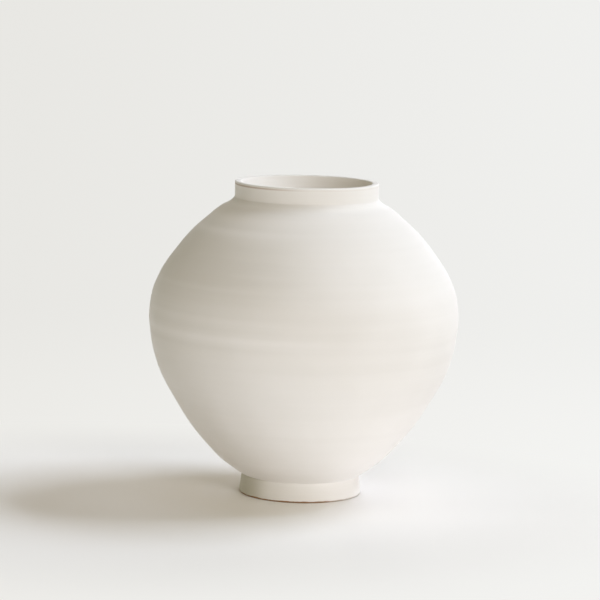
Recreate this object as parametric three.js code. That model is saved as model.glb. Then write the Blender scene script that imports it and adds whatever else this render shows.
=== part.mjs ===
// A porcelain moon jar for incense. Two thrown bowls are luted rim to rim at the belly, a coil backs the joint
// inside, and an upright collar, cut on a slant inside, and a foot ring are added. A tall brass cup of ash stands
// on the floor of the jar, holds the foot of the stick below the mouth, and lifts out through it.
// Millimetres, +Z up, origin under the middle of the foot. Profiles are drawn as (radius, height).
import * as THREE from "three";

// Driving dimensions of the jar
const bellyRadius = 75;
const bellyHeight = 85;
const footHeight = 9.4;
const footBaseRadius = 29.6;
const footTopRadius = 28.5;
const footInnerRadius = 22.5;
const footChamfer = 0.7;
const collarRadius = 34.7;
const collarBaseHeight = 144.2;
const lipHeight = 152;
const lipThickness = 3.3;
const lipOuterRound = 1.2;
const lipInnerRound = 0.9;

// The inside of the collar is cut on a slant, measured from upright, that runs on into the edge of the shoulder
const mouthSlant = THREE.MathUtils.degToRad(24);
const throatDepth = 1.6;

// The wall leaves the foot and the collar at these slopes, and each pull is the length of a curve's handle
const underbodySlope = THREE.MathUtils.degToRad(29);
const underbodyFootPull = 23.5;
const underbodyBellyPull = 27;
const shoulderSlope = THREE.MathUtils.degToRad(35);
const shoulderCollarPull = 21.5;
const shoulderBellyPull = 27.5;

// Wall thickness: heavier at the foot, thinner at the joint and the shoulder
const jarFloorHeight = 14;
const seamThickness = 3.8;
const shoulderThickness = 3.4;
const coilWidth = 6;
const coilDepth = 2;
const coilGap = 0.3;

// Driving dimensions of the ash cup, measured from its own base
const cupHeight = 124;
const cupBaseRadius = 20.5;
const cupRimInnerRadius = 23.2;
const cupWall = 1;
const cupCornerRadius = 4;
const cupBeadRadius = 1.5;
const ashTopHeight = 116;
const ashCrown = 1.5;
const ashGap = 0.3;

// Facets around the axis, and steps along each curve of a profile
const jarFacets = 64;
const cupFacets = 48;
const wallSteps = 12;
const roundSteps = 2;

const porcelain = { color: 0xe9e5dc, roughness: 0.6, metalness: 0 };
const bareClay = { color: 0xd9ccb8, roughness: 0.9, metalness: 0 };
const brass = { color: 0xb08d4f, roughness: 0.35, metalness: 1 };
const ash = { color: 0xb4aea4, roughness: 1, metalness: 0 };

const point = (radius, height) => new THREE.Vector2(radius, height);

// A solid of revolution about Z. The profile runs up the outside and down the inside.
function turned(name, profile, facets, finish) {
  const geometry = new THREE.LatheGeometry(profile, facets);
  geometry.rotateX(Math.PI / 2);
  const mesh = new THREE.Mesh(geometry, new THREE.MeshStandardMaterial(finish));
  mesh.name = name;
  return mesh;
}

function closed(profile) {
  return [...profile, profile[0].clone()];
}

// The outer line of the lower bowl, from the foot up to the belly
function underbodyCurve() {
  const start = point(footTopRadius, footHeight);
  const end = point(bellyRadius, bellyHeight);
  const leaving = point(Math.cos(underbodySlope), Math.sin(underbodySlope)).multiplyScalar(underbodyFootPull);
  return new THREE.CubicBezierCurve(
    start,
    start.clone().add(leaving),
    point(bellyRadius, bellyHeight - underbodyBellyPull),
    end,
  );
}

// The outer line of the upper bowl, from the belly up to the collar
function shoulderCurve() {
  const start = point(bellyRadius, bellyHeight);
  const end = point(collarRadius, collarBaseHeight);
  const arriving = point(Math.cos(shoulderSlope), -Math.sin(shoulderSlope)).multiplyScalar(shoulderCollarPull);
  return new THREE.CubicBezierCurve(
    start,
    point(bellyRadius, bellyHeight + shoulderBellyPull),
    end.clone().add(arriving),
    end,
  );
}

// The exact direction of a cubic curve, so that the bowls' rims come out dead flat where they meet
function direction(curve, along) {
  const back = 1 - along;
  return new THREE.Vector2()
    .addScaledVector(curve.v1.clone().sub(curve.v0), back * back)
    .addScaledVector(curve.v2.clone().sub(curve.v1), 2 * back * along)
    .addScaledVector(curve.v3.clone().sub(curve.v2), along * along)
    .normalize();
}

// The inner line of a wall, from the top down: the outer curve set in square to itself by a thickness that
// changes evenly from its start to its end
function innerLine(curve, startThickness, endThickness) {
  const line = [];
  for (let step = wallSteps; step >= 0; step -= 1) {
    const along = step / wallSteps;
    const thickness = THREE.MathUtils.lerp(startThickness, endThickness, along);
    const heading = direction(curve, along);
    line.push(curve.getPoint(along).add(point(-heading.y, heading.x).multiplyScalar(thickness)));
  }
  return line;
}

function footRing() {
  const profile = [
    point(footInnerRadius + footChamfer, 0),
    point(footBaseRadius - footChamfer, 0),
    point(footBaseRadius, footChamfer),
    point(footTopRadius, footHeight),
    point(footInnerRadius, footHeight),
    point(footInnerRadius, footChamfer),
  ];
  return turned("foot_ring", closed(profile), jarFacets, bareClay);
}

function lowerBowl() {
  const curve = underbodyCurve();
  const floorThickness = (jarFloorHeight - footHeight) / Math.cos(underbodySlope);
  const profile = [
    point(0, footHeight),
    ...curve.getPoints(wallSteps),
    ...innerLine(curve, floorThickness, seamThickness),
    point(0, jarFloorHeight),
  ];
  return turned("lower_bowl", profile, jarFacets, porcelain);
}

// Where the round of the lip's inner edge runs into the slant, and the slant's radius at any height below it
const lipRoundCentre = point(collarRadius - lipThickness + lipInnerRound, lipHeight - lipInnerRound);
const slantTop = lipRoundCentre
  .clone()
  .add(point(-Math.cos(mouthSlant), Math.sin(mouthSlant)).multiplyScalar(lipInnerRound));

function slantPoint(height) {
  return point(slantTop.x - (slantTop.y - height) * Math.tan(mouthSlant), height);
}

function upperBowl() {
  const curve = shoulderCurve();
  const profile = [
    ...curve.getPoints(wallSteps),
    slantPoint(collarBaseHeight),
    slantPoint(collarBaseHeight - throatDepth),
    ...innerLine(curve, seamThickness, shoulderThickness),
  ];
  return turned("upper_bowl", closed(profile), jarFacets, porcelain);
}

// A half-round coil of clay pressed along the inside of the joint between the bowls
function seamCoil() {
  const backRadius = bellyRadius - seamThickness - coilGap;
  const section = new THREE.EllipseCurve(
    backRadius, bellyHeight, coilDepth, coilWidth / 2, Math.PI / 2, 1.5 * Math.PI,
  );
  return turned("seam_coil", closed(section.getPoints(4 * roundSteps)), jarFacets, porcelain);
}

function neckCollar() {
  const path = new THREE.Path();
  path.moveTo(slantPoint(collarBaseHeight).x, collarBaseHeight);
  path.lineTo(collarRadius, collarBaseHeight);
  path.lineTo(collarRadius, lipHeight - lipOuterRound);
  path.absarc(collarRadius - lipOuterRound, lipHeight - lipOuterRound, lipOuterRound, 0, Math.PI / 2);
  path.absarc(lipRoundCentre.x, lipRoundCentre.y, lipInnerRound, Math.PI / 2, Math.PI - mouthSlant);
  path.closePath();
  return turned("neck_collar", path.getPoints(roundSteps), jarFacets, porcelain);
}

// The cup's wall is straight from its base corner to its rim, so its inner radius is known at any height
const cupBaseInnerRadius = cupBaseRadius - cupWall;
const cupBeadHeight = cupHeight - cupBeadRadius;

function cupInnerRadiusAt(height) {
  const along = (height - cupCornerRadius) / (cupBeadHeight - cupCornerRadius);
  return THREE.MathUtils.lerp(cupBaseInnerRadius, cupRimInnerRadius, along);
}

// A spun cup with a rounded base corner, a wall that widens upwards and a rim rolled outwards
function ashLiner() {
  const beadCentre = cupRimInnerRadius + cupBeadRadius;
  const beadStart = -Math.acos((cupWall - cupBeadRadius) / cupBeadRadius);
  const innerCorner = cupCornerRadius - cupWall;
  const path = new THREE.Path();
  path.moveTo(0, 0);
  path.lineTo(cupBaseRadius - cupCornerRadius, 0);
  path.absarc(cupBaseRadius - cupCornerRadius, cupCornerRadius, cupCornerRadius, -Math.PI / 2, 0);
  path.absarc(beadCentre, cupBeadHeight, cupBeadRadius, beadStart, Math.PI);
  path.lineTo(cupBaseInnerRadius, cupCornerRadius);
  path.absarc(cupBaseInnerRadius - innerCorner, cupCornerRadius, innerCorner, 0, -Math.PI / 2, true);
  path.lineTo(0, cupWall);
  return turned("ash_liner", path.getPoints(2 * roundSteps), cupFacets, brass);
}

// The bed of ash fills the cup to a low crown, a hair clear of its wall
function ashBed() {
  const corner = cupCornerRadius - cupWall;
  const baseRadius = cupBaseInnerRadius - ashGap;
  const topRadius = cupInnerRadiusAt(ashTopHeight) - ashGap;
  const path = new THREE.Path();
  path.moveTo(0, cupWall);
  path.lineTo(baseRadius - corner, cupWall);
  path.absarc(baseRadius - corner, cupCornerRadius, corner, -Math.PI / 2, 0);
  path.lineTo(topRadius, ashTopHeight);
  path.quadraticCurveTo(topRadius / 2, ashTopHeight + ashCrown, 0, ashTopHeight + ashCrown);
  return turned("ash_bed", path.getPoints(2 * roundSteps), cupFacets, ash);
}

const jar = new THREE.Group();
jar.add(footRing(), lowerBowl(), seamCoil(), upperBowl(), neckCollar());

const ashCup = new THREE.Group();
ashCup.position.z = jarFloorHeight;
ashCup.add(ashLiner(), ashBed());

const incenseJar = new THREE.Group();
incenseJar.add(jar, ashCup);

export default incenseJar;
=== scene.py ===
import math
from collections import namedtuple

import bpy
from bpy.props import FloatProperty, FloatVectorProperty, IntProperty, PointerProperty
from mathutils import Matrix, Vector, noise


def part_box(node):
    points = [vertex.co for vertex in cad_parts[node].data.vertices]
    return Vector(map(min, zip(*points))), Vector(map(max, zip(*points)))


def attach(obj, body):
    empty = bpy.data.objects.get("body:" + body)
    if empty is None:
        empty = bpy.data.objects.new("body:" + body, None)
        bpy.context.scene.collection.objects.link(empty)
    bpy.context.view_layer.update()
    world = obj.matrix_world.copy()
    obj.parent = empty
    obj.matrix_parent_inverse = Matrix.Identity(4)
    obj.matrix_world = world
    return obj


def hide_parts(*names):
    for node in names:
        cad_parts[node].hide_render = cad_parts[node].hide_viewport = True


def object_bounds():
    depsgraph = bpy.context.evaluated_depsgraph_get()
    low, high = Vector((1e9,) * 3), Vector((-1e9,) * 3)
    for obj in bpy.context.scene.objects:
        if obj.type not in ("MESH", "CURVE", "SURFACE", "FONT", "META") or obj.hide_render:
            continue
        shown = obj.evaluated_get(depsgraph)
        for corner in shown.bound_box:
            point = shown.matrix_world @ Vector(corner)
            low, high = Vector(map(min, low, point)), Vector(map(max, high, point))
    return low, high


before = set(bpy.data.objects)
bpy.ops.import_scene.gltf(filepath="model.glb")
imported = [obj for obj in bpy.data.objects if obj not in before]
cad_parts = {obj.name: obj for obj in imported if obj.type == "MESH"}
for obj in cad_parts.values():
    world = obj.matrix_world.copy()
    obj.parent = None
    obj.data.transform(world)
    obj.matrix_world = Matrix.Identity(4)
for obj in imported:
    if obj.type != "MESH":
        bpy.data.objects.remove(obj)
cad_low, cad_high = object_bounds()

bl_info = {
    "name": "Porcelain incense jar",
    "version": (1, 0, 0),
    "blender": (4, 5, 0),
    "location": "3D View > Sidebar > Incense Jar",
    "description": "Throws a round porcelain jar with a collar, a foot and a lift-out ash cup, and lights it",
    "category": "Add Mesh",
}

MM = 0.001

# Points of a mesh that lie closer than this are one point
TOUCHING = 0.001 * MM

# Steps along the long curves of the wall
UNDERBODY_STEPS = 132
SHOULDER_STEPS = 112
INSIDE_STEPS = 44

# How far the curves of the wall's inside pull, as a share of those of its outside
INSIDE_PULL = 0.95

# Inner radius of the cup's rim, in millimetres; the rolled bead takes up the rest of the cup's width
CUP_RIM = 23.2

# What the frame fixes: the lowest and highest corner of each piece
_, FOOT_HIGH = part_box("foot_ring")
_, BELLY_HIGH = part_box("lower_bowl")
COIL_LOW, COIL_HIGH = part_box("seam_coil")
COLLAR_LOW, COLLAR_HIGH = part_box("neck_collar")
CUP_LOW, CUP_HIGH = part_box("ash_liner")
ASH_LOW, ASH_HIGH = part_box("ash_bed")

# Marks of the potter's fingers, pressed into the wall from below upwards, in millimetres:
# height up the jar, how far the wall is drawn out or, below zero, pressed in, and how far the mark reaches
FINGER_MARKS = (
    (18.0, 0.22, 7.5),
    (46.0, -0.26, 14.0),
    (60.0, 0.20, 15.0),
    (62.5, 0.04, 3.2),
    (79.0, -0.24, 8.0),
    (82.0, -0.05, 3.4),
    (90.2, 0.05, 3.4),
    (99.0, 0.30, 11.0),
    (108.0, 0.08, 3.4),
    (118.5, -0.32, 13.0),
    (122.0, 0.05, 3.4),
    (129.4, 0.06, 4.0),
    (137.8, 0.16, 5.5),
    (142.3, -0.54, 4.7),
)

# Painted light and shade of rings on the left side, where the light grazes, lighter above zero and darker
# below, in millimetres;
# the ring at 143.6 is a painted shadow of the collar and the wide one at 113 is painted shade on the left
# shoulder:
# height up the jar, how much of the glaze's range it takes, and how far the ring reaches
PAINTED_RING_SHADE = (
    (64.0, 0.14, 2.2),
    (79.2, -0.22, 2.2),
    (83.3, 0.38, 3.2),
    (88.2, -0.14, 1.8),
    (92.2, 0.32, 2.4),
    (101.0, -0.18, 3.6),
    (106.0, 0.24, 1.8),
    (110.2, -0.52, 2.6),
    (113.0, -0.36, 28.0),
    (117.5, -0.44, 7.0),
    (124.6, -0.50, 5.0),
    (130.9, 0.60, 2.5),
    (136.5, 0.56, 5.0),
    (143.6, -0.70, 2.4),
)

# Where burnt-down sticks left holes in the ash, in millimetres to the right and to the back of its middle
STICK_HOLES = ((3.1, -2.2), (-5.2, 1.6), (0.6, 6.4))


def length(name, description, millimetres):
    """A size property, in metres, from its default in millimetres."""
    return FloatProperty(name=name, description=description, default=millimetres * MM, unit="LENGTH")


def tint(name, description, colour):
    """A colour property, linear."""
    return FloatVectorProperty(
        name=name, description=description, default=colour, size=3, subtype="COLOR", min=0.0, max=1.0
    )


def slope(name, description, degrees):
    """An angle property, from its default in degrees."""
    return FloatProperty(name=name, description=description, default=math.radians(degrees), subtype="ANGLE")


def watts(name, description, power):
    """A lamp's power property."""
    return FloatProperty(name=name, description=description, default=power, unit="POWER")


class JarSizes(bpy.types.PropertyGroup):
    """Sizes of the clay pieces."""

    belly_radius: length("Belly radius", "Outer radius at the belly", BELLY_HIGH.x / MM)
    belly_height: length("Belly height", "Height of the joint between the two bowls", BELLY_HIGH.z / MM)
    foot_height: length("Foot height", "Height of the foot ring", FOOT_HIGH.z / MM)
    foot_base_radius: length("Foot base radius", "Outer radius where the foot stands", FOOT_HIGH.x / MM)
    foot_top_radius: length("Foot top radius", "Outer radius where the foot meets the bowl", 28.5)
    foot_inner_radius: length("Foot inner radius", "Radius of the recess under the foot", 22.5)
    foot_edge: length("Foot edge", "Rounding of the edge that the jar stands on", 0.7)
    collar_radius: length("Collar radius", "Outer radius of the collar", COLLAR_HIGH.x / MM)
    collar_base: length("Collar base", "Height where the collar leaves the shoulder", COLLAR_LOW.z / MM)
    lip_height: length("Lip height", "Height of the lip", COLLAR_HIGH.z / MM)
    lip_thickness: length("Lip thickness", "Thickness of the collar's wall", 3.3)
    lip_outer_round: length("Lip outer round", "Rounding of the lip outside", 0.7)
    lip_inner_round: length("Lip inner round", "Rounding of the lip inside", 0.9)
    mouth_slant: slope("Mouth slant", "Slant of the collar's inside, measured from upright", 24.0)
    throat_depth: length("Throat depth", "How far the slant runs on below the collar", 1.6)
    underbody_slope: slope("Underbody slope", "How steeply the wall leaves the foot", 29.0)
    underbody_foot_pull: length("Underbody pull at foot", "How far the wall runs on from the foot", 23.5)
    underbody_belly_pull: length("Underbody pull at belly", "Length of upright wall below the belly", 27.0)
    shoulder_slope: slope("Shoulder slope", "How steeply the wall reaches the collar", 35.0)
    shoulder_collar_pull: length("Shoulder pull at collar", "How far the wall runs on from the collar", 21.5)
    shoulder_belly_pull: length("Shoulder pull at belly", "Length of upright wall above the belly", 27.5)
    floor_height: length("Floor height", "Height of the floor inside the jar", CUP_LOW.z / MM)
    joint_wall: length("Wall at the joint", "Thickness of the wall at the belly", 3.8)
    shoulder_wall: length("Wall at the shoulder", "Thickness of the wall below the collar", 3.4)
    slip_fillet: length("Slip fillet", "Width of the slip smoothed into the corners at collar and foot", 0.4)
    hand_drift: length("Hand drift", "How far the wall strays from round", 0.10)
    spiral_depth: length("Spiral depth", "Height of the fine spiral left by the wheel", 0.004)
    spiral_rise: length("Spiral rise", "Rise of the fine spiral in one turn", 2.6)
    facets: IntProperty(name="Facets", description="Facets round the axis", default=208, min=48, max=400)


class CupSizes(bpy.types.PropertyGroup):
    """Sizes of the ash cup and its filling."""

    base_radius: length("Base radius", "Outer radius of the cup's wall at its base corner", 20.5)
    rim_inner_radius: length("Rim inner radius", "Inner radius at the rim", CUP_RIM)
    wall: length("Wall", "Thickness of the spun brass", 1.0)
    corner: length("Corner", "Rounding of the base corner", 4.0)
    bead: length("Bead", "Radius of the rolled rim", (CUP_HIGH.x / MM - CUP_RIM) / 2)
    ash_gap: length("Ash gap", "Room between the ash and the cup", 0.3)
    ash_crown: length("Ash crown", "Rise of the ash from its edge to its middle", 1.5)
    ash_lumps: length("Ash lumps", "Unevenness of the ash", 0.5)
    stick_hole: length("Stick hole", "Radius of a hole left by a stick", 1.3)
    stick_depth: length("Stick depth", "Depth of a hole left by a stick", 3.4)
    facets: IntProperty(name="Facets", description="Facets round the axis", default=144, min=48, max=400)


class JarColours(bpy.types.PropertyGroup):
    """Colours of the finishes."""

    glaze: tint("Glaze", "Matte white glaze where it lies thick", (0.898, 0.878, 0.845))
    # The thin glaze is also the colour towards which the painted ring shade darkens the left side.
    glaze_thin: tint("Thin glaze", "Glaze where it runs thin over the body", (0.818, 0.798, 0.755))
    # Bare clay is also painted as contact shade along the foot's edge and as a painted shade line on the lip.
    bare_clay: tint("Bare clay", "Unglazed clay at the foot's edge", (0.350, 0.205, 0.108))
    # Painted shade: this colour darkens the foot's left side, which the jar shades.
    foot_painted_shade: tint("Foot wash", "Glaze washed thin over one side of the foot", (0.470, 0.450, 0.330))
    brass: tint("Brass", "Spun brass of the cup", (0.690, 0.510, 0.245))
    brass_tarnish: tint("Tarnish", "Brass darkened by smoke and hands", (0.330, 0.205, 0.090))
    ash: tint("Ash", "Loose incense ash", (0.760, 0.735, 0.695))
    ash_pale: tint("Pale ash", "Burnt-out flakes", (0.880, 0.860, 0.830))
    ash_char: tint("Char", "Specks that did not burn out", (0.120, 0.105, 0.095))


class StageSettings(bpy.types.PropertyGroup):
    """The table, the light and the camera."""

    table_radius: length("Table radius", "Radius of the table top", 8000.0)
    table: tint("Table", "White table top", (0.943, 0.928, 0.898))
    # Painted shade: a darker table tone where the window light is full, just right of the jar.
    table_painted_shade: tint("Table beside the jar", "Table top just right of the jar", (0.790, 0.777, 0.753))
    # Painted light: the backdrop is paler to the right, towards the window.
    backdrop_left: tint("Backdrop left", "Far end of the table on the left", (0.812, 0.804, 0.774))
    backdrop_right: tint("Backdrop right", "Far end of the table on the right", (0.868, 0.868, 0.850))
    shade_side: length("Shaded patch to the side", "Sideways place of the patch that the jar shades", -75.0)
    shade_front: length("Shaded patch to the front", "Place of the shaded patch from front to back", -40.0)
    room: tint("Room light", "Warm light from all round the room", (0.150, 0.101, 0.004))
    lamp_distance: length("Lamp distance", "How far the lamps are from the jar", 8000.0)
    window: tint("Window light", "Cool light from a wide window on the right", (0.781, 0.860, 1.000))
    window_power: watts("Window power", "Strength of the window light", 444.0)
    window_width: length("Window width", "Width of the window", 4890.0)
    window_height: length("Window height", "Height of the window", 2250.0)
    window_azimuth: slope("Window azimuth", "Direction of the window, from the right to the back", 21.0)
    window_elevation: slope("Window elevation", "Height of the window above the table", 49.0)
    card: tint("Card light", "Light from a white card low in front", (0.961, 0.961, 1.000))
    card_power: watts("Card power", "Strength of the light from the card", 281.0)
    card_width: length("Card width", "Width of the card", 3400.0)
    card_azimuth: slope("Card azimuth", "Direction of the card, from the right to the back", -65.0)
    card_elevation: slope("Card elevation", "Height of the card above the table", 15.0)
    wall_elevation: slope("Wall elevation", "Height of the bright foot of the walls above the table", 8.0)
    wall_height: length("Wall height", "Height of the bright foot of the walls", 2250.0)
    back_wall: tint("Back wall light", "Light from the foot of the wall behind", (0.908, 0.891, 1.000))
    back_wall_power: watts("Back wall power", "Strength of the light from the wall behind", 226.0)
    back_wall_width: length("Back wall width", "Width of the bright part of the wall behind", 5200.0)
    back_wall_azimuth: slope("Back wall azimuth", "Direction of the wall's bright part", 75.0)
    side_wall: tint("Side wall light", "Light from the foot of the wall on the left", (0.868, 0.951, 1.000))
    side_wall_power: watts("Side wall power", "Strength of the light from the wall on the left", 140.0)
    side_wall_width: length("Side wall width", "Width of the bright part of the wall on the left", 10400.0)
    side_wall_azimuth: slope("Side wall azimuth", "Direction of the left wall's bright part", 138.0)
    ceiling: tint("Ceiling light", "Light from the ceiling", (0.756, 0.836, 1.000))
    ceiling_power: watts("Ceiling power", "Strength of the light from the ceiling", 92.0)
    ceiling_width: length("Ceiling width", "Width of the bright part of the ceiling", 5200.0)
    bounce: tint("Bounce light", "Light thrown back up by the table", (0.909, 0.874, 1.000))
    bounce_power: watts("Bounce power", "Strength of the light thrown back up in front", 0.028)
    bounce_width: length("Bounce width", "Width of the lit patch of table in front", 360.0)
    bounce_front: length("Bounce to the front", "Place of the lit patch from front to back", -150.0)
    side_bounce_power: watts("Side bounce power", "Strength of the light thrown back up on the right", 0.020)
    side_bounce_width: length("Side bounce width", "Width of the lit patch of table on the right", 220.0)
    side_bounce_right: length("Side bounce to the right", "Sideways place of the patch on the right", 110.0)
    side_bounce_back: length("Side bounce to the back", "Place of the right patch from front to back", 25.0)
    lens: FloatProperty(name="Lens", description="Focal length of the camera", default=183.6, unit="CAMERA")
    camera_distance: length("Camera distance", "From the camera to the point that it looks at", 1483.2)
    camera_pitch: slope("Camera pitch", "How far the camera looks down", 7.822)
    camera_roll: slope("Camera roll", "How far the camera is turned about its own axis", 1.353)
    aim_side: length("Aim to the side", "Sideways place of the point that the camera looks at", -2.05)
    aim_height: length("Aim height", "Height of the point that the camera looks at", 94.3)


# Drawing and turning

Stroke = namedtuple("Stroke", "start leave arrive end steps")


def curve(start, leave, arrive, end, steps):
    """A curved stroke of a profile from its two ends and two handles, each a radius and a height."""
    return Stroke(Vector(start), Vector(leave), Vector(arrive), Vector(end), steps)


def straight(start, end, steps=1):
    """A straight stroke of a profile."""
    start, end = Vector(start), Vector(end)
    return Stroke(start, start.lerp(end, 1 / 3), start.lerp(end, 2 / 3), end, steps)


def arc(centre, radius, first, last, steps):
    """A stroke round a centre, from the first angle to the last, in degrees."""
    first, last = math.radians(first), math.radians(last)
    pull = radius * 4 / 3 * math.tan((last - first) / 4)
    ends = [Vector(centre) + radius * Vector((math.cos(a), math.sin(a))) for a in (first, last)]
    leave = ends[0] + pull * Vector((-math.sin(first), math.cos(first)))
    arrive = ends[1] - pull * Vector((-math.sin(last), math.cos(last)))
    return Stroke(ends[0], leave, arrive, ends[1], steps)


def along(angle, distance):
    """A step in the profile's plane."""
    return distance * Vector((math.cos(angle), math.sin(angle)))


def merge_points():
    """Make one point of all that touch in the active piece."""
    bpy.ops.object.mode_set(mode="EDIT")
    bpy.ops.mesh.select_all(action="SELECT")
    bpy.ops.mesh.remove_doubles(threshold=TOUCHING)
    bpy.ops.object.mode_set(mode="OBJECT")


def draw_profile(name, strokes):
    """Draw the strokes upright beside the axis and make them one mesh line."""
    bpy.ops.object.select_all(action="DESELECT")
    bpy.ops.curve.primitive_bezier_curve_add()
    drawing = bpy.context.object
    drawing.name = name
    drawing.data.splines.clear()
    for stroke in strokes:
        spline = drawing.data.splines.new("BEZIER")
        spline.bezier_points.add(1)
        spline.resolution_u = stroke.steps
        first, last = spline.bezier_points
        for knot in (first, last):
            knot.handle_left_type = knot.handle_right_type = "FREE"
        first.co = first.handle_left = (stroke.start.x, 0, stroke.start.y)
        first.handle_right = (stroke.leave.x, 0, stroke.leave.y)
        last.handle_left = (stroke.arrive.x, 0, stroke.arrive.y)
        last.co = last.handle_right = (stroke.end.x, 0, stroke.end.y)
    bpy.ops.object.convert(target="MESH")
    merge_points()
    line = bpy.context.object
    line.data.name = name
    return line


def pick_vertices(piece, wanted):
    """Select the vertices that the test wants, and nothing else."""
    bpy.context.tool_settings.mesh_select_mode = (True, False, False)
    for part in (piece.data.edges, piece.data.polygons):
        part.foreach_set("select", [False] * len(part))
    piece.data.vertices.foreach_set("select", [wanted(v.co) for v in piece.data.vertices])


def turn(line, facets):
    """Turn a profile round the axis into a closed piece with its faces outwards."""
    bpy.ops.object.mode_set(mode="EDIT")
    bpy.ops.mesh.select_all(action="SELECT")
    bpy.ops.mesh.spin(steps=facets, angle=math.tau, center=(0, 0, 0), axis=(0, 0, 1))
    bpy.ops.mesh.select_all(action="SELECT")
    bpy.ops.mesh.remove_doubles(threshold=TOUCHING)
    bpy.ops.mesh.normals_make_consistent(inside=False)
    bpy.ops.object.mode_set(mode="OBJECT")
    return line


def hand_over(piece, material, body, node, sharp=40.0):
    """Shade a finished piece, give it its material and put it in the place of its node."""
    bpy.ops.object.select_all(action="DESELECT")
    piece.select_set(True)
    bpy.context.view_layer.objects.active = piece
    bpy.ops.object.shade_smooth_by_angle(angle=math.radians(sharp))
    piece.data.materials.clear()
    piece.data.materials.append(material)
    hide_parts(node)
    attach(piece, body)


# The thrown wall

def wall_strokes(sizes):
    """The outer line of the jar, from the foot over the belly to the collar."""
    foot = Vector((sizes.foot_top_radius, sizes.foot_height))
    belly = Vector((sizes.belly_radius, sizes.belly_height))
    collar = Vector((sizes.collar_radius, sizes.collar_base))
    underbody = curve(
        foot,
        foot + along(sizes.underbody_slope, sizes.underbody_foot_pull),
        belly - Vector((0, sizes.underbody_belly_pull)),
        belly,
        UNDERBODY_STEPS,
    )
    shoulder = curve(
        belly,
        belly + Vector((0, sizes.shoulder_belly_pull)),
        collar + along(-sizes.shoulder_slope, sizes.shoulder_collar_pull),
        collar,
        SHOULDER_STEPS,
    )
    return underbody, shoulder


def slant_point(sizes, height):
    """A point on the slanted inside of the collar, below the round of the lip."""
    inner_round, slant = sizes.lip_inner_round, sizes.mouth_slant
    centre = Vector((sizes.collar_radius - sizes.lip_thickness + inner_round, sizes.lip_height - inner_round))
    top = centre + inner_round * Vector((-math.cos(slant), math.sin(slant)))
    return Vector((top.x - (top.y - height) * math.tan(slant), height))


def press_finger_marks(line, joint_height):
    """Press the wall's line square to itself where the fingers went; its ends and its joint stay true."""
    drawn = sorted(line.data.vertices, key=lambda vertex: vertex.co.z)
    ends = {vertex.index: vertex.co.copy() for vertex in (drawn[0], drawn[-1])}
    joint = min(drawn, key=lambda vertex: abs(vertex.co.z - joint_height)).index
    for height, out, reach in FINGER_MARKS:
        upwards = sorted((v.co.copy() for v in line.data.vertices), key=lambda co: co.z)
        at = min(range(1, len(upwards) - 1), key=lambda i: abs(upwards[i].z - height * MM))
        heading = (upwards[at + 1] - upwards[at - 1]).normalized()
        pick_vertices(line, lambda co: (co - upwards[at]).length < TOUCHING)
        bpy.ops.object.mode_set(mode="EDIT")
        bpy.ops.transform.translate(
            value=(out * MM * heading.z, 0, -out * MM * heading.x),
            use_proportional_edit=True,
            proportional_edit_falloff="SMOOTH",
            proportional_size=reach * MM,
        )
        bpy.ops.object.mode_set(mode="OBJECT")
    for index, place in ends.items():
        line.data.vertices[index].co = place
    line.data.vertices[joint].co.z = joint_height


def throw_bowl(name, sizes, inside, keep):
    """Draw the whole wall with its finger marks, keep one bowl of it, add its inside and turn it."""
    outer = draw_profile(name, wall_strokes(sizes))
    press_finger_marks(outer, sizes.belly_height)
    pick_vertices(outer, lambda co: not keep(co.z))
    bpy.ops.object.mode_set(mode="EDIT")
    bpy.ops.mesh.delete(type="VERT")
    bpy.ops.object.mode_set(mode="OBJECT")
    joint = min((v.co for v in outer.data.vertices), key=lambda co: abs(co.z - sizes.belly_height))
    rim = Vector((joint.x, joint.z))
    draw_profile(name + "_inside", inside(rim))
    outer.select_set(True)
    bpy.context.view_layer.objects.active = outer
    bpy.ops.object.join()
    merge_points()
    bowl = turn(outer, sizes.facets)
    let_hand_drift(bowl, sizes)
    return bowl


def let_hand_drift(bowl, sizes):
    """Let the wall stray a little from round, with the wheel's fine spiral, and keep foot and collar true."""
    fade = 9 * MM
    lobes, lobe_rise, lobe_share = 1.3, 42, 0.75
    bands, band_rise, band_start = 0.8, 150, 7
    for vertex in bowl.data.vertices:
        x, y, height = vertex.co
        radius = math.hypot(x, y)
        room = min(height - sizes.foot_height, sizes.collar_base - height)
        share = max(0.0, min(1.0, room / fade))
        if share == 0 or radius < sizes.collar_radius:
            continue
        angle = math.atan2(y, x)
        ahead, aside = math.cos(angle), math.sin(angle)
        slow = noise.noise(Vector((lobes * ahead, lobes * aside, lobe_rise * height)))
        quick = noise.noise(Vector((bands * ahead, bands * aside, band_rise * height + band_start)))
        spiral = math.sin(math.tau * height / sizes.spiral_rise + angle)
        stray = lobe_share * slow + (1 - lobe_share) * quick
        drift = sizes.hand_drift * stray + sizes.spiral_depth * spiral
        scale = 1 + share * drift / radius
        vertex.co = (x * scale, y * scale, height)


# Materials

def new_material(name):
    """A node material with its shader and the piece's own coordinates."""
    material = bpy.data.materials.new(name)
    material.use_nodes = True
    nodes = material.node_tree.nodes
    shader = nodes["Principled BSDF"]
    place = nodes.new("ShaderNodeTexCoord").outputs["Object"]
    return material, shader, place


def add_node(material, kind, sockets=None, **settings):
    """Add a node, with its settings, and set or link its input sockets."""
    node = material.node_tree.nodes.new(kind)
    for name, value in settings.items():
        setattr(node, name, value)
    for name, value in (sockets or {}).items():
        plug(material, value, node.inputs[name])
    return node


def plug(material, value, socket):
    """Link an output to a socket, or set the socket to a plain value."""
    if isinstance(value, bpy.types.NodeSocket):
        material.node_tree.links.new(value, socket)
    else:
        socket.default_value = value


def opaque(colour):
    """A colour with full alpha."""
    return (*colour, 1.0)


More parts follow.
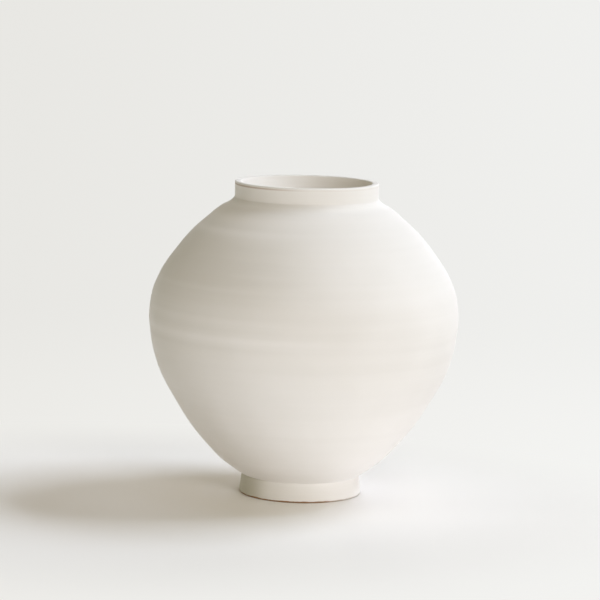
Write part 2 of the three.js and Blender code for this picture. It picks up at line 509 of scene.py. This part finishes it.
def stretched(material, place, scale, location=(0, 0, 0)):
    """The piece's coordinates, scaled along each axis."""
    mapping = add_node(material, "ShaderNodeMapping", {"Vector": place, "Scale": scale, "Location": location})
    return mapping.outputs["Vector"]


def speckle(material, place, scale, detail=3.0, roughness=0.55):
    """A noise pattern from 0 to 1."""
    made = add_node(
        material,
        "ShaderNodeTexNoise",
        {"Vector": place, "Scale": scale, "Detail": detail, "Roughness": roughness},
    )
    return made.outputs["Fac"]


def ranged(material, value, low, high, to_low, to_high, smooth=True):
    """A value moved from one range to another and held there."""
    made = add_node(
        material,
        "ShaderNodeMapRange",
        {"Value": value, "From Min": low, "From Max": high, "To Min": to_low, "To Max": to_high},
        interpolation_type="SMOOTHSTEP" if smooth else "LINEAR",
    )
    return made.outputs["Result"]


def blended(material, share, first, second):
    """A mix of two colours."""
    made = add_node(material, "ShaderNodeMix", {"Factor": share}, data_type="RGBA")
    plug(material, first, made.inputs[6])
    plug(material, second, made.inputs[7])
    return made.outputs[2]


def reckoned(material, operation, first, second):
    """The result of one sum on two values."""
    made = add_node(material, "ShaderNodeMath", operation=operation)
    plug(material, first, made.inputs[0])
    plug(material, second, made.inputs[1])
    return made.outputs["Value"]


def measured(material, place, axis):
    """How far each spot of the piece lies along one axis, in metres."""
    return add_node(material, "ShaderNodeSeparateXYZ", {"Vector": place}).outputs[axis]


def distance_of(material, place):
    """How far each spot lies from the middle of its coordinates, in metres."""
    return add_node(material, "ShaderNodeVectorMath", {0: place}, operation="LENGTH").outputs["Value"]


def off_level(material, height, level):
    """How far a height lies above or below a level, in metres."""
    above = reckoned(material, "SUBTRACT", height, level)
    return reckoned(material, "ABSOLUTE", above, 0.0)


def bumped(material, height, distance, strength=1.0, under=None):
    """A normal from a height pattern, over another normal if one is given."""
    sockets = {"Height": height, "Distance": distance, "Strength": strength}
    if under is not None:
        sockets["Normal"] = under
    return add_node(material, "ShaderNodeBump", sockets).outputs["Normal"]


def glaze_coat(name, colours):
    """Matte white glaze, a little cloudy, with a fine dry grain and painted light and shade of rings on the
    left side.
    """
    material, shader, place = new_material(name)
    clouds = speckle(material, place, 26.0, 2.0)
    streaks = speckle(material, stretched(material, place, (3.0, 3.0, 170.0)), 1.0, 3.0)
    thin = reckoned(
        material,
        "ADD",
        ranged(material, clouds, 0.34, 0.66, 0.33, 0.55),
        ranged(material, streaks, 0.36, 0.64, -0.02, 0.14),
    )
    height = measured(material, place, "Z")
    # Painted shade: the rings are painted full on the left, where the light grazes, and fade out towards the
    # lit right.
    painted_shade_side = ranged(material, measured(material, place, "X"), -45 * MM, 14 * MM, 1.0, 0.1)
    # The thin share holds the glaze's real clouds and streaks plus the painted ring shade.
    for level, share, reach in PAINTED_RING_SHADE:
        off_ring = off_level(material, height, level * MM)
        ring = ranged(material, off_ring, 0.0, reach * MM, share, 0.0)
        thin = reckoned(material, "SUBTRACT", thin, reckoned(material, "MULTIPLY", ring, painted_shade_side))
    colour = blended(material, thin, opaque(colours.glaze), opaque(colours.glaze_thin))
    grain = speckle(material, place, 1400.0, 2.0)
    wheel = speckle(material, stretched(material, place, (6.0, 6.0, 620.0)), 1.0, 2.0)
    normal = bumped(material, wheel, 0.05 * MM, 0.5)
    normal = bumped(material, grain, 0.03 * MM, 0.35, normal)
    plug(material, colour, shader.inputs["Base Color"])
    plug(material, ranged(material, clouds, 0.3, 0.7, 0.68, 0.80), shader.inputs["Roughness"])
    plug(material, normal, shader.inputs["Normal"])
    shader.inputs["IOR"].default_value = 1.48
    shader.inputs["Specular IOR Level"].default_value = 0.15
    return material


def started_coat(name, colours):
    """The glaze of the jar with its shader, coordinates and colour, for a coat that goes on from there."""
    material = glaze_coat(name, colours)
    nodes = material.node_tree.nodes
    shader = nodes["Principled BSDF"]
    place = next(n for n in nodes if n.type == "TEX_COORD").outputs["Object"]
    glazed = shader.inputs["Base Color"].links[0].from_socket
    return material, shader, place, glazed


def lip_coat(name, colours):
    """The glaze of the jar, with painted shade as a thin brown line along the lip's outer edge, strongest on
    the shaded left side.
    """
    material, shader, place, glazed = started_coat(name, colours)
    off_edge = off_level(material, measured(material, place, "Z"), COLLAR_HIGH.z - 1.15 * MM)
    line = ranged(material, off_edge, 0.15 * MM, 0.55 * MM, 1.0, 0.0)
    radius = distance_of(material, stretched(material, place, (1.0, 1.0, 0.0)))
    outside = ranged(material, radius, COLLAR_HIGH.x - 1.4 * MM, COLLAR_HIGH.x - 0.9 * MM, 0.0, 1.0)
    # Painted shade: the line is strongest on the left, away from the light, and nearly gone on the right.
    painted_shade_lip_side = ranged(material, measured(material, place, "X"), -26 * MM, 2 * MM, 0.55, 0.04)
    painted_shade_line = reckoned(material, "MULTIPLY", reckoned(material, "MULTIPLY", line, outside), painted_shade_lip_side)
    plug(material, blended(material, painted_shade_line, glazed, opaque(colours.bare_clay)), shader.inputs["Base Color"])
    return material


def foot_coat(name, colours):
    """The glaze of the jar, with painted shade on the foot's left side, and wiped off the edge that stands on
    the table, with painted contact shade on that edge.
    """
    material, shader, place, glazed = started_coat(name, colours)
    waver = ranged(material, speckle(material, place, 160.0, 2.0), 0.3, 0.7, -0.18 * MM, 0.18 * MM)
    wavering = reckoned(material, "ADD", measured(material, place, "Z"), waver)
    wiped = ranged(material, wavering, 0.95 * MM, 0.60 * MM, 0.0, 1.0)
    across = measured(material, place, "X")
    # Bare clay on the standing edge, darkened as painted contact shade: full on the left and fading out
    # towards the lit right.
    bare_and_painted_shade = reckoned(material, "MULTIPLY", wiped, ranged(material, across, 8 * MM, 27 * MM, 1.0, 0.15))
    # Painted shade on the foot's left side, strongest at the far left and fading out a little right of the
    # middle.
    washed = reckoned(
        material,
        "ADD",
        ranged(material, across, -27 * MM, -13 * MM, 0.60, 0.0),
        ranged(material, across, -22 * MM, 16 * MM, 0.15, 0.0),
    )
    glazed = blended(material, washed, glazed, opaque(colours.foot_painted_shade))
    plug(material, blended(material, bare_and_painted_shade, glazed, opaque(colours.bare_clay)), shader.inputs["Base Color"])
    return material


def brass_sheet(name, colours):
    """Spun brass, with fine rings from the lathe and clouds of tarnish."""
    material, shader, place = new_material(name)
    stains = speckle(material, place, 55.0, 5.0, 0.62)
    spun = speckle(material, stretched(material, place, (8.0, 8.0, 1500.0)), 1.0, 2.0)
    tarnish = ranged(material, stains, 0.40, 0.74, 0.0, 0.75)
    metal = blended(material, tarnish, opaque(colours.brass), opaque(colours.brass_tarnish))
    plug(material, metal, shader.inputs["Base Color"])
    shine = reckoned(
        material,
        "ADD",
        ranged(material, stains, 0.35, 0.75, 0.27, 0.46),
        ranged(material, spun, 0.3, 0.7, -0.04, 0.04),
    )
    plug(material, shine, shader.inputs["Roughness"])
    plug(material, bumped(material, spun, 0.02 * MM, 0.5), shader.inputs["Normal"])
    shader.inputs["Metallic"].default_value = 1.0
    return material


def ash_powder(name, colours):
    """Loose ash: soft grey powder with pale flakes and a few specks of char."""
    material, shader, place = new_material(name)
    drifts = speckle(material, place, 120.0, 4.0, 0.6)
    flakes = speckle(material, place, 900.0, 3.0)
    char = add_node(material, "ShaderNodeTexVoronoi", {"Vector": place, "Scale": 520.0}).outputs["Distance"]
    pale = reckoned(
        material,
        "MULTIPLY",
        ranged(material, drifts, 0.38, 0.66, 0.25, 1.0),
        ranged(material, flakes, 0.42, 0.62, 0.0, 1.0),
    )
    powder = blended(material, pale, opaque(colours.ash), opaque(colours.ash_pale))
    sparse = ranged(material, speckle(material, place, 300.0, 2.0), 0.60, 0.66, 0.0, 1.0)
    specks = reckoned(material, "MULTIPLY", ranged(material, char, 0.10, 0.22, 0.9, 0.0), sparse)
    plug(material, blended(material, specks, powder, opaque(colours.ash_char)), shader.inputs["Base Color"])
    shader.inputs["Roughness"].default_value = 0.95
    shader.inputs["Specular IOR Level"].default_value = 0.1
    normal = bumped(material, drifts, 0.5 * MM, 0.6)
    plug(material, bumped(material, flakes, 0.25 * MM, 0.8, normal), shader.inputs["Normal"])
    return material


def finish_named(slot, make, colours):
    """The finish of a material slot, made the first time that a piece asks for it."""
    name = slot + "_finish"
    return bpy.data.materials.get(name) or make(name, colours)


# The pieces

class JAR_OT_turn_foot(bpy.types.Operator):
    """Turn the foot ring, with slip smoothed into the corner under the bowl"""

    bl_idname = "jar.turn_foot"
    bl_label = "Turn the foot"

    def execute(self, context):
        sizes = context.scene.jar_sizes
        base, top, inner = sizes.foot_base_radius, sizes.foot_top_radius, sizes.foot_inner_radius
        edge, height, fillet = sizes.foot_edge, sizes.foot_height, sizes.slip_fillet
        corner = Vector((top, height))
        below = corner + along(math.atan2(edge - height, base - top), fillet)
        under_bowl = corner + along(sizes.underbody_slope, fillet)
        strokes = [
            straight((inner + edge, 0), (base - edge, 0), 4),
            curve((base - edge, 0), (base - edge / 2, 0), (base, edge / 2), (base, edge), 5),
            straight((base, edge), below, 14),
            curve(below, below.lerp(corner, 0.6), under_bowl.lerp(corner, 0.6), under_bowl, 6),
            straight(under_bowl, corner),
            straight(corner, (inner, height)),
            straight((inner, height), (inner, edge), 8),
            curve((inner, edge), (inner, edge / 2), (inner + edge / 2, 0), (inner + edge, 0), 5),
        ]
        foot = turn(draw_profile("foot_ring_turned", strokes), sizes.facets)
        finish = finish_named("foot_glaze", foot_coat, context.scene.jar_colours)
        hand_over(foot, finish, "jar", "foot_ring")
        return {"FINISHED"}


class JAR_OT_throw_lower_bowl(bpy.types.Operator):
    """Throw the bowl from the foot to the belly, with the floor of the jar"""

    bl_idname = "jar.throw_lower_bowl"
    bl_label = "Throw the lower bowl"

    def execute(self, context):
        sizes = context.scene.jar_sizes
        foot = Vector((sizes.foot_top_radius, sizes.foot_height))
        belly = Vector((sizes.belly_radius - sizes.joint_wall, sizes.belly_height))
        cup_stand = Vector((CUP_HIGH.x * 0.8, sizes.floor_height))

        def inside(rim):
            return [
                straight(rim, belly),
                curve(
                    belly,
                    belly - Vector((0, INSIDE_PULL * sizes.underbody_belly_pull)),
                    cup_stand + along(0.75 * sizes.underbody_slope, sizes.underbody_foot_pull),
                    cup_stand,
                    INSIDE_STEPS,
                ),
                straight(cup_stand, (0, sizes.floor_height), 10),
                straight((0, sizes.foot_height), foot, 12),
            ]

        bowl = throw_bowl("lower_bowl_thrown", sizes, inside, lambda z: z < sizes.belly_height + TOUCHING)
        finish = finish_named("jar_glaze", glaze_coat, context.scene.jar_colours)
        hand_over(bowl, finish, "jar", "lower_bowl")
        return {"FINISHED"}


class JAR_OT_throw_upper_bowl(bpy.types.Operator):
    """Throw the bowl that is set rim down on the lower one, from the belly to the collar"""

    bl_idname = "jar.throw_upper_bowl"
    bl_label = "Throw the upper bowl"

    def execute(self, context):
        sizes = context.scene.jar_sizes
        belly = Vector((sizes.belly_radius - sizes.joint_wall, sizes.belly_height))
        collar = Vector((sizes.collar_radius, sizes.collar_base))
        slant_end = slant_point(sizes, sizes.collar_base)
        throat = slant_point(sizes, sizes.collar_base - sizes.throat_depth)
        set_in = Vector((math.sin(sizes.shoulder_slope), math.cos(sizes.shoulder_slope)))
        ceiling = collar - sizes.shoulder_wall * set_in

        def inside(rim):
            return [
                straight(collar, slant_end),
                straight(slant_end, throat, 3),
                curve(
                    throat,
                    throat + Vector((0.05, -0.2)) * sizes.lip_thickness,
                    ceiling + along(math.pi - 0.6 * sizes.shoulder_slope, 0.8 * sizes.lip_thickness),
                    ceiling,
                    7,
                ),
                curve(
                    ceiling,
                    ceiling + along(-sizes.shoulder_slope, INSIDE_PULL * sizes.shoulder_collar_pull),
                    belly + Vector((0, INSIDE_PULL * sizes.shoulder_belly_pull)),
                    belly,
                    INSIDE_STEPS,
                ),
                straight(belly, rim),
            ]

        bowl = throw_bowl("upper_bowl_thrown", sizes, inside, lambda z: z > sizes.belly_height - TOUCHING)
        finish = finish_named("jar_glaze", glaze_coat, context.scene.jar_colours)
        hand_over(bowl, finish, "jar", "upper_bowl")
        return {"FINISHED"}


class JAR_OT_press_coil(bpy.types.Operator):
    """Press a coil of clay along the joint of the bowls inside, with the dents of the fingertips"""

    bl_idname = "jar.press_coil"
    bl_label = "Press the seam coil"

    def execute(self, context):
        sizes = context.scene.jar_sizes
        back = COIL_HIGH.x
        half, deep = (COIL_HIGH.z - COIL_LOW.z) / 2, 2.0 * MM
        middle = (COIL_HIGH.z + COIL_LOW.z) / 2
        round_off = 0.56
        strokes = [
            curve(
                (back, middle + half),
                (back - round_off * deep, middle + half),
                (back - deep, middle + round_off * half),
                (back - deep, middle),
                7,
            ),
            curve(
                (back - deep, middle),
                (back - deep, middle - round_off * half),
                (back - round_off * deep, middle - half),
                (back, middle - half),
                7,
            ),
            straight((back, middle - half), (back, middle + half), 4),
        ]
        coil = turn(draw_profile("seam_coil_pressed", strokes), sizes.facets)
        dents, dent_depth, sway = 34, 0.35 * MM, 1.4
        for vertex in coil.data.vertices:
            x, y, _ = vertex.co
            radius = math.hypot(x, y)
            inwards = (back - radius) / deep
            angle = math.atan2(y, x)
            pressed = 0.5 + 0.5 * math.cos(dents * angle + sway * math.sin(3 * angle))
            dent = dent_depth * inwards * pressed
            vertex.co.x *= 1 + dent / radius
            vertex.co.y *= 1 + dent / radius
        finish = finish_named("inner_glaze", glaze_coat, context.scene.jar_colours)
        hand_over(coil, finish, "jar", "seam_coil")
        return {"FINISHED"}


class JAR_OT_throw_collar(bpy.types.Operator):
    """Throw the upright collar with its rounded lip, luted to the shoulder with a fillet of slip"""

    bl_idname = "jar.throw_collar"
    bl_label = "Throw the collar"

    def execute(self, context):
        sizes = context.scene.jar_sizes
        outer, base, lip = sizes.collar_radius, sizes.collar_base, sizes.lip_height
        inner = outer - sizes.lip_thickness
        outer_round, inner_round, slant = sizes.lip_outer_round, sizes.lip_inner_round, sizes.mouth_slant
        corner = Vector((outer, base))
        on_shoulder = corner + along(-sizes.shoulder_slope, sizes.slip_fillet)
        above = corner + Vector((0, sizes.slip_fillet))
        slant_top = slant_point(sizes, lip - (1 - math.sin(slant)) * inner_round)
        slant_end = slant_point(sizes, base)
        strokes = [
            straight(slant_end, corner),
            straight(corner, on_shoulder),
            curve(on_shoulder, on_shoulder.lerp(corner, 0.6), above.lerp(corner, 0.6), above, 6),
            straight(above, (outer, lip - outer_round), 12),
            arc((outer - outer_round, lip - outer_round), outer_round, 0, 90, 8),
            straight((outer - outer_round, lip), (inner + inner_round, lip), 3),
            arc((inner + inner_round, lip - inner_round), inner_round, 90, 180 - math.degrees(slant), 7),
            straight(slant_top, slant_end, 12),
        ]
        collar = turn(draw_profile("neck_collar_thrown", strokes), sizes.facets)
        finish = finish_named("lip_glaze", lip_coat, context.scene.jar_colours)
        hand_over(collar, finish, "jar", "neck_collar", sharp=50.0)
        return {"FINISHED"}


class JAR_OT_spin_cup(bpy.types.Operator):
    """Spin the brass cup that lifts out, with a rounded base corner and a rim rolled outwards"""

    bl_idname = "jar.spin_cup"
    bl_label = "Spin the ash cup"

    def execute(self, context):
        cup = context.scene.cup_sizes
        base, rim = CUP_LOW.z, CUP_HIGH.z
        outer, wall, corner, bead = cup.base_radius, cup.wall, cup.corner, cup.bead
        inner = outer - wall
        bead_centre = Vector((cup.rim_inner_radius + bead, rim - bead))
        tuck = -math.degrees(math.acos((wall - bead) / bead))
        inner_corner = corner - wall
        under_bead = bead_centre + along(math.radians(tuck), bead)
        strokes = [
            straight((0, base), (outer - corner, base), 8),
            arc((outer - corner, base + corner), corner, -90, 0, 8),
            straight((outer, base + corner), under_bead, 40),
            arc(bead_centre, bead, tuck, 0, 8),
            arc(bead_centre, bead, 0, 90, 6),
            arc(bead_centre, bead, 90, 180, 6),
            straight(bead_centre - Vector((bead, 0)), (inner, base + corner), 40),
            arc((inner - inner_corner, base + corner), inner_corner, 0, -90, 6),
            straight((inner - inner_corner, base + wall), (0, base + wall), 6),
        ]
        liner = turn(draw_profile("ash_liner_spun", strokes), cup.facets)
        finish = finish_named("cup_brass", brass_sheet, context.scene.jar_colours)
        hand_over(liner, finish, "ash_cup", "ash_liner", sharp=50.0)
        return {"FINISHED"}


class JAR_OT_fill_ash(bpy.types.Operator):
    """Fill the cup with ash, loosely heaped, with the holes of burnt-down sticks"""

    bl_idname = "jar.fill_ash"
    bl_label = "Fill in the ash"

    def execute(self, context):
        cup = context.scene.cup_sizes
        low, edge, top = ASH_LOW.z, ASH_HIGH.z - cup.ash_crown, ASH_HIGH.z
        corner = cup.corner - cup.wall
        top_radius = ASH_HIGH.x
        base_radius = cup.base_radius - cup.wall - cup.ash_gap
        strokes = [
            straight((0, low), (base_radius - corner, low), 5),
            arc((base_radius - corner, low + corner), corner, -90, 0, 5),
            straight((base_radius, low + corner), (top_radius, edge), 16),
            curve((top_radius, edge), (0.66 * top_radius, top), (0.33 * top_radius, top), (0, top), 56),
        ]
        bed = turn(draw_profile("ash_bed_sifted", strokes), cup.facets)
        holes = [Vector(place) * MM for place in STICK_HOLES]
        shore_width, coarse_grain, fine_grain = 2 * MM, 190, 620
        rim_height, rim_radius, rim_spread = 0.12 * cup.stick_depth, 1.7, 0.18
        for vertex in bed.data.vertices:
            x, y, height = vertex.co
            if height < edge - 0.01 * MM:
                continue
            spot = Vector((x, y))
            shore = min(1.0, max(0.0, (top_radius - spot.length) / shore_width))
            coarse = noise.noise(Vector((coarse_grain * x, coarse_grain * y, 3.0)))
            fine = noise.noise(Vector((fine_grain * x, fine_grain * y, 8.0)))
            rise = cup.ash_lumps * (0.8 * coarse + 0.35 * fine - 0.6) * (0.35 + 0.65 * shore)
            for hole in holes:
                away = (spot - hole).length / cup.stick_hole
                rise -= cup.stick_depth * math.exp(-(away**4))
                rise += rim_height * math.exp(-((away - rim_radius) ** 2) / rim_spread)
            vertex.co.z = min(height + rise, top)
        finish = finish_named("incense_ash", ash_powder, context.scene.jar_colours)
        hand_over(bed, finish, "ash_cup", "ash_bed", sharp=60.0)
        return {"FINISHED"}


# The stage

def seen_directly(material):
    """1 for what is seen, straight on, in metal or through glass, and 0 for light that only falls there."""
    path = add_node(material, "ShaderNodeLightPath")
    mirrored = reckoned(material, "MAXIMUM", path.outputs["Is Camera Ray"], path.outputs["Is Glossy Ray"])
    return reckoned(material, "MAXIMUM", mirrored, path.outputs["Is Transmission Ray"])


def table_top(stage):
    """A white table that takes the jar's shadow, with painted shade just right of the jar, and runs into a
    backdrop that glows with painted light, paler on the right and a little brighter near the jar.
    """
    material, shader, place = new_material("table_top")
    shader.inputs["Roughness"].default_value = 0.85
    shader.inputs["Specular IOR Level"].default_value = 0.1
    squeeze = 0.8
    shade = (-squeeze * stage.shade_side, -stage.shade_front, 0)
    far_off = distance_of(material, stretched(material, place, (squeeze, 1.0, 1.0), shade))
    across, back = (measured(material, place, axis) for axis in "XY")
    # Painted shade just right of the jar, weaker in front of it.
    to_the_right = reckoned(
        material,
        "MULTIPLY",
        ranged(material, across, 10 * MM, 30 * MM, 0.0, 1.0),
        ranged(material, across, 30 * MM, 64 * MM, 1.0, 0.28),
    )
    not_in_front = ranged(material, back, -64 * MM, -16 * MM, 0.15, 1.0)
    painted_shade_beside_jar = reckoned(material, "MULTIPLY", to_the_right, not_in_front)
    white = blended(material, painted_shade_beside_jar, opaque(stage.table), opaque(stage.table_painted_shade))
    plug(material, white, shader.inputs["Base Color"])
    side = reckoned(material, "DIVIDE", across, reckoned(material, "ADD", far_off, stage.camera_distance))
    # Painted light: the far table glows paler to the right, towards the window.
    colour = blended(
        material,
        ranged(material, side, -0.09, 0.09, 0.0, 1.0, smooth=False),
        opaque(stage.backdrop_left),
        opaque(stage.backdrop_right),
    )
    past_shade = ranged(material, far_off, 90 * MM, 220 * MM, 0.0, 1.0)
    share = reckoned(material, "MULTIPLY", past_shade, seen_directly(material))
    # Painted light: the glow is a little stronger near the jar.
    near = ranged(material, far_off, 150 * MM, 700 * MM, 1.04, 1.0)
    glow = add_node(material, "ShaderNodeEmission", {"Color": colour, "Strength": near})
    mixed = add_node(material, "ShaderNodeMixShader", {0: share})
    plug(material, shader.outputs["BSDF"], mixed.inputs[1])
    plug(material, glow.outputs["Emission"], mixed.inputs[2])
    output = next(n for n in material.node_tree.nodes if n.type == "OUTPUT_MATERIAL")
    plug(material, mixed.outputs["Shader"], output.inputs["Surface"])
    return material


def room_light(scene, stage):
    """Even warm light from all round, with a pale backdrop for the camera."""
    world = bpy.data.worlds.new("room")
    world.use_nodes = True
    scene.world = world
    light = world.node_tree.nodes["Background"]
    light.inputs["Color"].default_value = opaque(stage.room)
    seen = add_node(world, "ShaderNodeBackground", {"Color": opaque(stage.backdrop_right)})
    mixed = add_node(world, "ShaderNodeMixShader", {0: seen_directly(world)})
    plug(world, light.outputs["Background"], mixed.inputs[1])
    plug(world, seen.outputs["Background"], mixed.inputs[2])
    plug(world, mixed.outputs["Shader"], world.node_tree.nodes["World Output"].inputs["Surface"])


def add_lamp(name, azimuth, elevation, distance, colour, power, width, height=None):
    """A soft lamp, round unless it has a height, that shines on the jar and isn't seen itself."""
    towards = Vector((math.cos(azimuth), math.sin(azimuth), 0)) * math.cos(elevation)
    towards.z = math.sin(elevation)
    middle = Vector((0, 0, 0.5 * cad_high.z))
    bpy.ops.object.light_add(type="AREA", location=middle + distance * towards)
    lamp = bpy.context.object
    lamp.name = name
    lamp.rotation_euler = towards.to_track_quat("Z", "Y").to_euler()
    lamp.visible_camera = False
    lamp.data.shape = "RECTANGLE" if height else "DISK"
    lamp.data.size = width
    lamp.data.size_y = height or width
    lamp.data.color = colour
    lamp.data.energy = power
    return lamp


def light_the_room(stage):
    """The window, and what the walls, the ceiling, a card and the table throw back."""
    straight_up = math.pi / 2
    low, tall = stage.wall_elevation, stage.wall_height
    for name, azimuth, elevation, height in (
        ("window", stage.window_azimuth, stage.window_elevation, stage.window_height),
        ("card", stage.card_azimuth, stage.card_elevation, None),
        ("back_wall", stage.back_wall_azimuth, low, tall),
        ("side_wall", stage.side_wall_azimuth, low, tall),
        ("ceiling", 0, straight_up, None),
    ):
        colour, power, width = (getattr(stage, name + ending) for ending in ("", "_power", "_width"))
        add_lamp(name, azimuth, elevation, stage.lamp_distance, colour, power, width, height)
    just_above_table = 0.5 * cad_high.z - 1 * MM
    for name, side, back in (
        ("bounce", 0, stage.bounce_front),
        ("side_bounce", stage.side_bounce_right, stage.side_bounce_back),
    ):
        power, width = (getattr(stage, name + ending) for ending in ("_power", "_width"))
        patch = add_lamp(name, 0, -straight_up, just_above_table, stage.bounce, power, width)
        patch.location.x = side
        patch.location.y = back


class JAR_OT_set_stage(bpy.types.Operator):
    """Set the pale table, the window light on the right and the camera"""

    bl_idname = "jar.set_stage"
    bl_label = "Set the stage"

    def execute(self, context):
        scene, stage = context.scene, context.scene.jar_stage
        bpy.ops.object.select_all(action="DESELECT")
        bpy.ops.mesh.primitive_circle_add(
            vertices=128, radius=stage.table_radius, fill_type="NGON", location=(0, 0, 0)
        )
        table = context.object
        table.name = "table"
        table.data.materials.append(table_top(stage))
        room_light(scene, stage)
        light_the_room(stage)

        looked_at = Vector((stage.aim_side, 0, stage.aim_height))
        back = Vector((0, -math.cos(stage.camera_pitch), math.sin(stage.camera_pitch)))
        bpy.ops.object.camera_add(location=looked_at + stage.camera_distance * back)
        camera = context.object
        upright = Matrix.Rotation(math.pi / 2 - stage.camera_pitch, 3, "X")
        camera.rotation_euler = (upright @ Matrix.Rotation(stage.camera_roll, 3, "Z")).to_euler()
        camera.data.lens = stage.lens
        camera.data.sensor_width = 36.0
        scene.camera = camera
        scene.view_settings.view_transform = "Standard"
        return {"FINISHED"}


class JAR_PT_panel(bpy.types.Panel):
    """The steps of the build, in order"""

    bl_label = "Incense Jar"
    bl_idname = "JAR_PT_panel"
    bl_space_type = "VIEW_3D"
    bl_region_type = "UI"
    bl_category = "Incense Jar"

    def draw(self, context):
        for step in STEPS:
            self.layout.operator(step.bl_idname)
        for group in SETTINGS:
            box = self.layout.box()
            box.label(text=group.replace("_", " ").capitalize())
            settings = getattr(context.scene, group)
            for name in settings.__annotations__:
                box.prop(settings, name)


STEPS = (
    JAR_OT_turn_foot,
    JAR_OT_throw_lower_bowl,
    JAR_OT_press_coil,
    JAR_OT_throw_upper_bowl,
    JAR_OT_throw_collar,
    JAR_OT_spin_cup,
    JAR_OT_fill_ash,
    JAR_OT_set_stage,
)
SETTINGS = {
    "jar_sizes": JarSizes,
    "cup_sizes": CupSizes,
    "jar_colours": JarColours,
    "jar_stage": StageSettings,
}


def register():
    for group in SETTINGS.values():
        bpy.utils.register_class(group)
    for name, group in SETTINGS.items():
        setattr(bpy.types.Scene, name, PointerProperty(type=group))
    for step in STEPS:
        bpy.utils.register_class(step)
    bpy.utils.register_class(JAR_PT_panel)


def unregister():
    bpy.utils.unregister_class(JAR_PT_panel)
    for step in reversed(STEPS):
        bpy.utils.unregister_class(step)
    for name, group in SETTINGS.items():
        delattr(bpy.types.Scene, name)
        bpy.utils.unregister_class(group)


def main():
    register()
    bpy.ops.jar.turn_foot()
    bpy.ops.jar.throw_lower_bowl()
    bpy.ops.jar.press_coil()
    bpy.ops.jar.throw_upper_bowl()
    bpy.ops.jar.throw_collar()
    bpy.ops.jar.spin_cup()
    bpy.ops.jar.fill_ash()
    bpy.ops.jar.set_stage()


if __name__ == "__main__":
    main()
